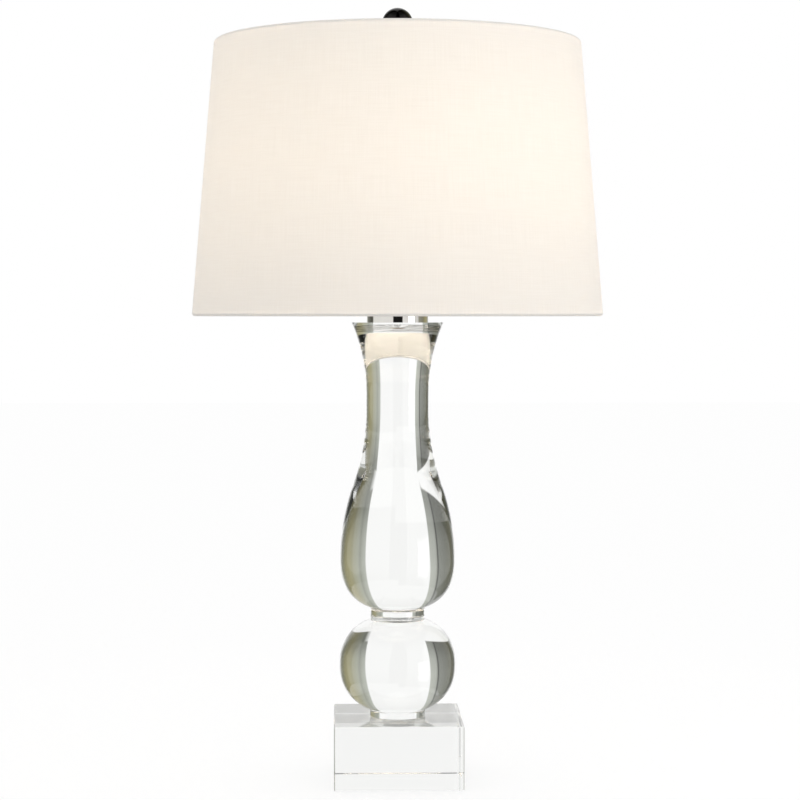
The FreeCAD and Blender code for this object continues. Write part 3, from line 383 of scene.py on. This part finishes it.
def circle_centre(a, b, c):
    """Centre of the circle through three points, or None when they are in line."""
    turn = 2 * (a[0] * (b[1] - c[1]) + b[0] * (c[1] - a[1]) + c[0] * (a[1] - b[1]))
    if abs(turn) < STRAIGHT:
        return None
    square = [point[0] ** 2 + point[1] ** 2 for point in (a, b, c)]
    x = (square[0] * (b[1] - c[1]) + square[1] * (c[1] - a[1]) + square[2] * (a[1] - b[1])) / turn
    y = (square[0] * (c[0] - b[0]) + square[1] * (a[0] - c[0]) + square[2] * (b[0] - a[0])) / turn
    return x, y


SHARP = math.radians(14)
LEAST_TURN = 1e-4
EVEN_STEPS = 0.01


def heading(a, b):
    """Direction from one point to the next, as an angle."""
    return math.atan2(b[1] - a[1], b[0] - a[0])


def turn_at(a, b, c):
    """How much a chain turns at its middle point."""
    turn = heading(b, c) - heading(a, b)
    return (turn + math.pi) % (2 * math.pi) - math.pi


def finer(chain, parts, closed=False):
    """Divide each step of a chain along the arc that it samples."""
    count = len(chain)
    steps = count if closed else count - 1
    result = []
    for index in range(steps):
        a = chain[index]
        b = chain[(index + 1) % count]
        length = math.dist(a, b)
        centre = None
        for other, near, far in ((index - 1, a, b), (index + 2, b, a)):
            if not closed and not 0 <= other < count:
                continue
            c = chain[other % count]
            turn = turn_at(c, near, far)
            even = abs(math.dist(c, near) / length - 1) < EVEN_STEPS
            if even and LEAST_TURN < abs(turn) < SHARP:
                centre = circle_centre(a, b, c)
                break
        result.append(a)
        for part in range(1, parts):
            share = part / parts
            x = a[0] + (b[0] - a[0]) * share
            y = a[1] + (b[1] - a[1]) * share
            if centre:
                radius = math.dist(centre, a)
                away = math.dist(centre, (x, y))
                x = centre[0] + (x - centre[0]) * radius / away
                y = centre[1] + (y - centre[1]) * radius / away
            result.append((x, y))
    if not closed:
        result.append(chain[-1])
    return result


# ---------------------------------------------------------------- mesh helpers

def new_piece(name, mesh, body, slot, materials, *nodes):
    """Make a piece of a mesh, put it on its body and hide the nodes it stands for."""
    piece = bpy.data.objects.new(name, mesh)
    bpy.context.scene.collection.objects.link(piece)
    for material in materials:
        mesh.materials.append(material)
    if nodes:
        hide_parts(*nodes)
    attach(piece, body)
    return piece


def shade_smooth(mesh, angle=SHARP):
    """Smooth faces, with an edge kept sharp where the surface turns by more than an angle."""
    mesh.polygons.foreach_set("use_smooth", [True] * len(mesh.polygons))
    mesh.set_sharp_from_angle(angle=angle)


def lathe(name, chain, segments, closed=False, caps=((), ()), slots=((), ())):
    """Turn a chain of (radius, height) about Z. caps gives, for the low and the high end of an open
    chain, the radii of the rings inside it, and slots the material of each band inwards."""
    shape = bmesh.new()
    angles = [2 * math.pi * step / segments for step in range(segments)]

    def ring(radius, height):
        return [shape.verts.new((radius * math.cos(angle), radius * math.sin(angle), height))
                for angle in angles]

    def band(low, high, slot=0):
        for step in range(segments):
            after = (step + 1) % segments
            face = shape.faces.new((low[step], low[after], high[after], high[step]))
            face.material_index = slot

    rows = [ring(*point) for point in chain]
    for low, high in zip(rows, rows[1:]):
        band(low, high)
    if closed:
        band(rows[-1], rows[0])
        bmesh.ops.recalc_face_normals(shape, faces=shape.faces)
    for end in () if closed else (0, 1):
        outer = rows[-1] if end else rows[0]
        height = chain[-1][1] if end else chain[0][1]
        for radius, slot in zip(caps[end], slots[end]):
            inner = ring(radius, height)
            band(*((outer, inner) if end else (inner, outer)), slot)
            outer = inner
        middle = shape.verts.new((0, 0, height))
        for step in range(segments):
            after = (step + 1) % segments
            pair = (outer[step], outer[after]) if end else (outer[after], outer[step])
            shape.faces.new((*pair, middle)).material_index = slots[end][-1]
    mesh = bpy.data.meshes.new(name)
    shape.to_mesh(mesh)
    shape.free()
    shade_smooth(mesh)
    return mesh


# ---------------------------------------------------------------- crystal

CRYSTAL_IOR = 1.52
CRYSTAL_SEGMENTS = 256
CRYSTAL_PARTS = 6
PLINTH_BEVEL = 0.8 * MM
COLLAR_BOND_RADIUS = 29.5 * MM
SAME_RADIUS = 1e-5


def crystal_material():
    """Clear polished crystal that lets lamps through, faintly green and faintly streaked."""
    material, tree = new_material("crystal")
    tint = mixed(tree, noise(tree, 9.0), (0.982, 0.988, 0.974, 1), (0.99, 0.994, 0.984, 1))
    streaks = noise(tree, 30.0, stretch=(1, 1, 0.12))
    normal = bump(tree, streaks, 0.000001, 0.2)
    glass = add(tree, "BsdfPrincipled", {
        "Base Color": tint, "Roughness": 0.0, "IOR": CRYSTAL_IOR, "Transmission Weight": 1.0,
        "Normal": normal}).outputs[0]
    clear = add(tree, "BsdfTransparent", {"Color": (0.97, 0.975, 0.965, 1)}).outputs[0]
    path = add(tree, "LightPath")
    finish_material(tree, mix_shaders(tree, path.outputs["Is Shadow Ray"], glass, clear))
    return material


def bond_material():
    """Clear adhesive between two crystal faces, which light crosses unbent."""
    material, tree = new_material("clear_bond")
    tint = mixed(tree, noise(tree, 40.0), grey(1.0), grey(0.995))
    finish_material(tree, add(tree, "BsdfTransparent", {"Color": tint}).outputs[0])
    return material


def flat_radius(node, high):
    """Radius of a turned crystal piece's flat end."""
    chain = outline_of(node)
    return chain[-1 if high else 0][0]


def make_turned_crystal(node, below, above, materials):
    """One turned crystal piece whose flats are clear where it is bonded to its neighbours."""
    chain = finer(outline_of(node), CRYSTAL_PARTS)
    caps = []
    slots = []
    for high, bond in ((0, below), (1, above)):
        own = chain[-1 if high else 0][0]
        if bond < own - SAME_RADIUS:
            caps.append([bond])
            slots.append([0, 1])
        else:
            caps.append([])
            slots.append([1])
    mesh = lathe(node + "_crystal", chain, CRYSTAL_SEGMENTS, caps=caps, slots=slots)
    new_piece(node + "_crystal", mesh, "lamp", "crystal", materials, node)


def make_plinth(bond, materials):
    """Square block with a fine bevel on every edge; its top is clear under the lower disc."""
    low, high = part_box("plinth")
    half = high[0]
    top = high[2]
    shape = bmesh.new()
    count = CRYSTAL_SEGMENTS

    def square(reach, height):
        corners = []
        for x, y in ((1, -1), (1, 1), (-1, 1), (-1, -1)):
            corners.append(shape.verts.new((x * reach, y * reach, height)))
        return corners

    # Each wall keeps its own corners, so the uprights' bevels are faces too.
    def octagon(reach, height):
        inner = reach - PLINTH_BEVEL
        places = [(reach, -inner), (reach, inner), (inner, reach), (-inner, reach),
                  (-reach, inner), (-reach, -inner), (-inner, -reach), (inner, -reach)]
        return [shape.verts.new((x, y, height)) for x, y in places]

    bottom = square(half - PLINTH_BEVEL, 0)
    low_ring = octagon(half, PLINTH_BEVEL)
    high_ring = octagon(half, top - PLINTH_BEVEL)
    rim = square(half - PLINTH_BEVEL, top)
    shape.faces.new(bottom[::-1])
    for step in range(8):
        after = (step + 1) % 8
        shape.faces.new((low_ring[step], low_ring[after], high_ring[after], high_ring[step]))
    for side in range(4):
        after = (side + 1) % 4
        here, there = 2 * side, 2 * side + 1
        shape.faces.new((bottom[side], bottom[after], low_ring[there], low_ring[here]))
        shape.faces.new((low_ring[there], bottom[after], low_ring[(there + 1) % 8]))
        shape.faces.new((high_ring[here], high_ring[there], rim[after], rim[side]))
        shape.faces.new((high_ring[there], high_ring[(there + 1) % 8], rim[after]))
    circle = [shape.verts.new((bond * math.cos(a), bond * math.sin(a), top))
              for a in (2 * math.pi * step / count - math.pi / 4 for step in range(count))]
    quarter = count // 4
    for side in range(4):
        after = (side + 1) % 4
        arc = [circle[(side * quarter + step) % count] for step in range(quarter + 1)]
        shape.faces.new((rim[side], rim[after], *arc[::-1]))
    shape.faces.new(circle).material_index = 1
    mesh = bpy.data.meshes.new("plinth_crystal")
    shape.to_mesh(mesh)
    shape.free()
    new_piece("plinth_crystal", mesh, "lamp", "crystal", materials, "plinth")


def make_crystal():
    """The five crystal pieces, which read as one solid where they are bonded."""
    materials = [crystal_material(), bond_material()]
    stack = ["lower_disc", "crystal_ball", "middle_disc", "vase"]
    bonds = [flat_radius("lower_disc", False)]
    for low, high in zip(stack, stack[1:]):
        bonds.append(min(flat_radius(low, True), flat_radius(high, False)))
    bonds.append(COLLAR_BOND_RADIUS)
    make_plinth(bonds[0], materials)
    for index, node in enumerate(stack):
        make_turned_crystal(node, bonds[index], bonds[index + 1], materials)


# ---------------------------------------------------------------- metals and mouldings

def metal(name, dark, light, roughness, scratch=1.0):
    """Plated or turned metal with faint cloudiness and fine turning marks."""
    material, tree = new_material(name)
    colour = mixed(tree, noise(tree, 60.0, 3.0), dark, light)
    rough = noise(tree, 140.0, 3.0, low=roughness * 0.7, high=roughness * 1.3)
    marks = noise(tree, 900.0, 1.0, stretch=(0.06, 0.06, 1.0))
    metal_shader = add(tree, "BsdfPrincipled", {
        "Base Color": colour, "Metallic": 1.0, "Roughness": rough,
        "Normal": bump(tree, marks, 0.00001 * scratch, 0.5)}).outputs[0]
    finish_material(tree, metal_shader)
    return material


def moulded(name, dark, light, roughness, grain=400.0, depth=0.00003):
    """Moulded, pressed or coated stuff with a fine grain."""
    material, tree = new_material(name)
    colour = mixed(tree, noise(tree, 80.0, 3.0), dark, light)
    rough = noise(tree, 160.0, 2.0, low=roughness * 0.85, high=roughness * 1.15)
    surface = add(tree, "BsdfPrincipled", {
        "Base Color": colour, "Roughness": rough,
        "Normal": bump(tree, noise(tree, grain, 2.0), depth, 0.5)}).outputs[0]
    finish_material(tree, surface)
    return material


BULB_COLOUR = (1.0, 0.90, 0.76, 1.0)
BULB_STRENGTH = 40.0


def frosted_glass():
    """Lit frosted bulb: a warm glow, a little less bright towards its neck."""
    material, tree = new_material("frosted_glass")
    place = add(tree, "TexCoord").outputs["Object"]
    height = add(tree, "SeparateXYZ", {0: place}).outputs["Z"]
    low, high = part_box("bulb_glass")
    level = add(tree, "MapRange", {"Value": height, "From Min": low[2] + 0.01,
                                   "From Max": low[2] + 0.05, "To Min": 0.4,
                                   "To Max": 1.0}).outputs[0]
    cloud = noise(tree, 45.0, 2.0, low=0.94, high=1.0)
    strength = math_node(tree, "MULTIPLY", level, cloud)
    strength = math_node(tree, "MULTIPLY", strength, BULB_STRENGTH)
    surface = add(tree, "BsdfPrincipled", {
        "Base Color": mixed(tree, cloud, (0.93, 0.91, 0.87, 1), (0.97, 0.96, 0.93, 1)),
        "Roughness": 0.45, "Emission Color": BULB_COLOUR,
        "Emission Strength": strength}).outputs[0]
    finish_material(tree, surface)
    return material


def clear_glass(name, tint):
    """Thin clear glass inside the bulb."""
    material, tree = new_material(name)
    colour = mixed(tree, noise(tree, 50.0), tint, (0.97, 0.99, 0.99, 1))
    glass = add(tree, "BsdfPrincipled", {"Base Color": colour, "Roughness": 0.03, "IOR": 1.5,
                                         "Transmission Weight": 1.0}).outputs[0]
    clear = add(tree, "BsdfTransparent", {"Color": tint}).outputs[0]
    path = add(tree, "LightPath")
    finish_material(tree, mix_shaders(tree, path.outputs["Is Shadow Ray"], glass, clear))
    return material


def dress_nodes():
    """Give every carried node the finish of its slot in the record."""
    finishes = {
        "nickel": metal("polished_nickel", (0.80, 0.77, 0.73, 1), (0.84, 0.81, 0.77, 1), 0.03, 0.1),
        "black_nickel": metal("black_nickel", (0.022, 0.021, 0.02, 1), (0.035, 0.033, 0.032, 1),
                              0.07),
        "brass": metal("turned_brass", (0.62, 0.44, 0.19, 1), (0.70, 0.52, 0.25, 1), 0.22, 3.0),
        "aluminium": metal("thin_aluminium", (0.66, 0.66, 0.66, 1), (0.74, 0.74, 0.74, 1), 0.25),
        "steel": metal("plain_steel", (0.36, 0.36, 0.36, 1), (0.45, 0.45, 0.45, 1), 0.30),
        "bushing": moulded("moulded_bush", grey(0.02), grey(0.035), 0.5),
        "phenolic": moulded("phenolic", (0.02, 0.016, 0.013, 1), (0.035, 0.028, 0.022, 1), 0.35),
        "paper": moulded("pressed_board", (0.33, 0.27, 0.19, 1), (0.42, 0.35, 0.25, 1), 0.9),
        "knob": moulded("glossy_knob", grey(0.012), grey(0.02), 0.12, depth=0.000005),
        "insulator_glass": moulded("black_glass", grey(0.01), grey(0.02), 0.08),
        "white_wire": moulded("white_coat", (0.78, 0.77, 0.74, 1), (0.83, 0.82, 0.79, 1), 0.4),
        "frosted_glass": frosted_glass(),
        "stem_glass": clear_glass("stem_glass", (0.93, 0.97, 0.96, 1)),
    }
    for part in frame["record"]["subparts"]:
        finish = finishes.get(part["material_slot"])
        if finish is None:
            continue
        mesh = NODES[part["node"]].data
        for index in range(len(mesh.materials)):
            mesh.materials[index] = finish
        if not len(mesh.materials):
            mesh.materials.append(finish)


# ---------------------------------------------------------------- shade

SHADE_SEGMENTS = 360
SHADE_PARTS = 3
LINER_PARTS = 4
LINEN_THROUGH = 0.30
LINER_CLEAR = 0.52
THREAD = 0.0006


def cylinder_coordinates(tree, radius):
    """Distance round the shade and height, from the object's own coordinates."""
    place = add(tree, "TexCoord").outputs["Object"]
    parts = add(tree, "SeparateXYZ", {0: place})
    angle = math_node(tree, "ARCTAN2", parts.outputs["Y"], parts.outputs["X"])
    round_way = math_node(tree, "MULTIPLY", angle, radius)
    return add(tree, "CombineXYZ", {"X": round_way, "Y": parts.outputs["Z"], "Z": 0.0}).outputs[0]


def linen_height(tree, radius):
    """Height field of a plain weave with uneven threads."""
    place = cylinder_coordinates(tree, radius)
    drift = add(tree, "TexNoise", {"Vector": place, "Scale": 90.0, "Detail": 2.0})
    shift = add(tree, "VectorMath", {0: drift.outputs["Color"], "Scale": THREAD * 0.8},
                operation="SCALE").outputs[0]
    moved = add(tree, "VectorMath", {0: place, 1: shift}, operation="ADD").outputs[0]
    parts = add(tree, "SeparateXYZ", {0: moved})
    turns = 2 * math.pi / (2 * THREAD)
    warp = math_node(tree, "SINE", math_node(tree, "MULTIPLY", parts.outputs["X"], turns))
    weft = math_node(tree, "SINE", math_node(tree, "MULTIPLY", parts.outputs["Y"], turns))
    return math_node(tree, "MULTIPLY", warp, weft)


def slubs(tree, radius, low, high):
    """Long uneven threads, level and upright, as a brightness."""
    place = cylinder_coordinates(tree, radius)
    fields = []
    for stretch in ((25.0, 900.0, 1.0), (900.0, 25.0, 1.0)):
        mapped = add(tree, "Mapping", {"Vector": place, "Scale": stretch}).outputs[0]
        fields.append(add(tree, "TexNoise", {"Vector": mapped, "Scale": 1.0,
                                             "Detail": 1.0}).outputs["Fac"])
    both = math_node(tree, "ADD", *fields)
    return add(tree, "MapRange", {"Value": both, "From Min": 0.7, "From Max": 1.3,
                                  "To Min": low, "To Max": high}).outputs[0]


def linen_material():
    """White linen that the bulb shines through."""
    material, tree = new_material("white_linen")
    low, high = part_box("shade_fabric")
    radius = high[0]
    colour = mixed(tree, slubs(tree, radius, 0.0, 1.0), (0.875, 0.868, 0.855, 1),
                         (0.905, 0.898, 0.885, 1))
    normal = bump(tree, linen_height(tree, radius), 0.00003, 0.4)
    cloth = add(tree, "BsdfPrincipled", {"Base Color": colour, "Roughness": 0.85,
                                         "Specular IOR Level": 0.2, "Sheen Weight": 0.15,
                                         "Sheen Roughness": 0.5, "Normal": normal}).outputs[0]
    warm = mixed(tree, slubs(tree, radius, 0.0, 1.0), (0.95, 0.85, 0.72, 1),
                       (0.98, 0.89, 0.77, 1))
    through = add(tree, "BsdfTranslucent", {"Color": warm, "Normal": normal}).outputs[0]
    finish_material(tree, mix_shaders(tree, LINEN_THROUGH, cloth, through))
    return material


def clear_back_material():
    """The cloth's hidden face, which lets light on to the face that shows."""
    material, tree = new_material("linen_back")
    tint = mixed(tree, noise(tree, 200.0), grey(1.0), grey(0.99))
    finish_material(tree, add(tree, "BsdfTransparent", {"Color": tint}).outputs[0])
    return material


def liner_material():
    """White translucent sheet behind the linen."""
    material, tree = new_material("white_styrene")
    tint = mixed(tree, noise(tree, 25.0, 2.0), (0.84, 0.83, 0.80, 1), (0.87, 0.86, 0.83, 1))
    sheet = add(tree, "BsdfPrincipled", {"Base Color": tint, "Roughness": 0.4}).outputs[0]
    clear = add(tree, "BsdfTransparent", {"Color": (0.98, 0.95, 0.91, 1)}).outputs[0]
    finish_material(tree, mix_shaders(tree, LINER_CLEAR, sheet, clear))
    return material


def make_shade():
    """Linen rolled over its wires, and the lining behind it."""
    fabric = finer(outline_of("shade_fabric"), SHADE_PARTS, closed=True)
    mesh = lathe("linen", fabric, SHADE_SEGMENTS, closed=True)
    linen = new_piece("shade_linen", mesh, "shade", "linen",
                      [linen_material(), clear_back_material()], "shade_fabric")
    low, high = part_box("shade_liner")
    for polygon in mesh.polygons:
        centre = polygon.center
        inward = polygon.normal.x * centre.x + polygon.normal.y * centre.y < 0
        covered = low[2] < centre.z < high[2]
        polygon.material_index = 1 if inward and covered else 0
    liner = finer(outline_of("shade_liner"), LINER_PARTS, closed=True)
    mesh = lathe("liner", liner, SHADE_SEGMENTS, closed=True)
    new_piece("shade_lining", mesh, "shade", "styrene",
              [liner_material(), clear_back_material()], "shade_liner")
    for polygon in mesh.polygons:
        centre = polygon.center
        if polygon.normal.x * centre.x + polygon.normal.y * centre.y > 0:
            polygon.material_index = 1
    return linen


# ---------------------------------------------------------------- the whole scene

def make_scene():
    """Set the picture's colour handling, then make everything."""
    scene = bpy.context.scene
    scene.view_settings.view_transform = "Standard"
    scene.cycles.max_bounces = 26
    scene.cycles.transmission_bounces = 24
    scene.cycles.glossy_bounces = 12
    scene.cycles.diffuse_bounces = 5
    scene.cycles.transparent_max_bounces = 24
    make_camera()
    make_world()
    make_floor()
    make_lights()
    dress_nodes()
    make_crystal()
    linen = make_shade()


make_scene()
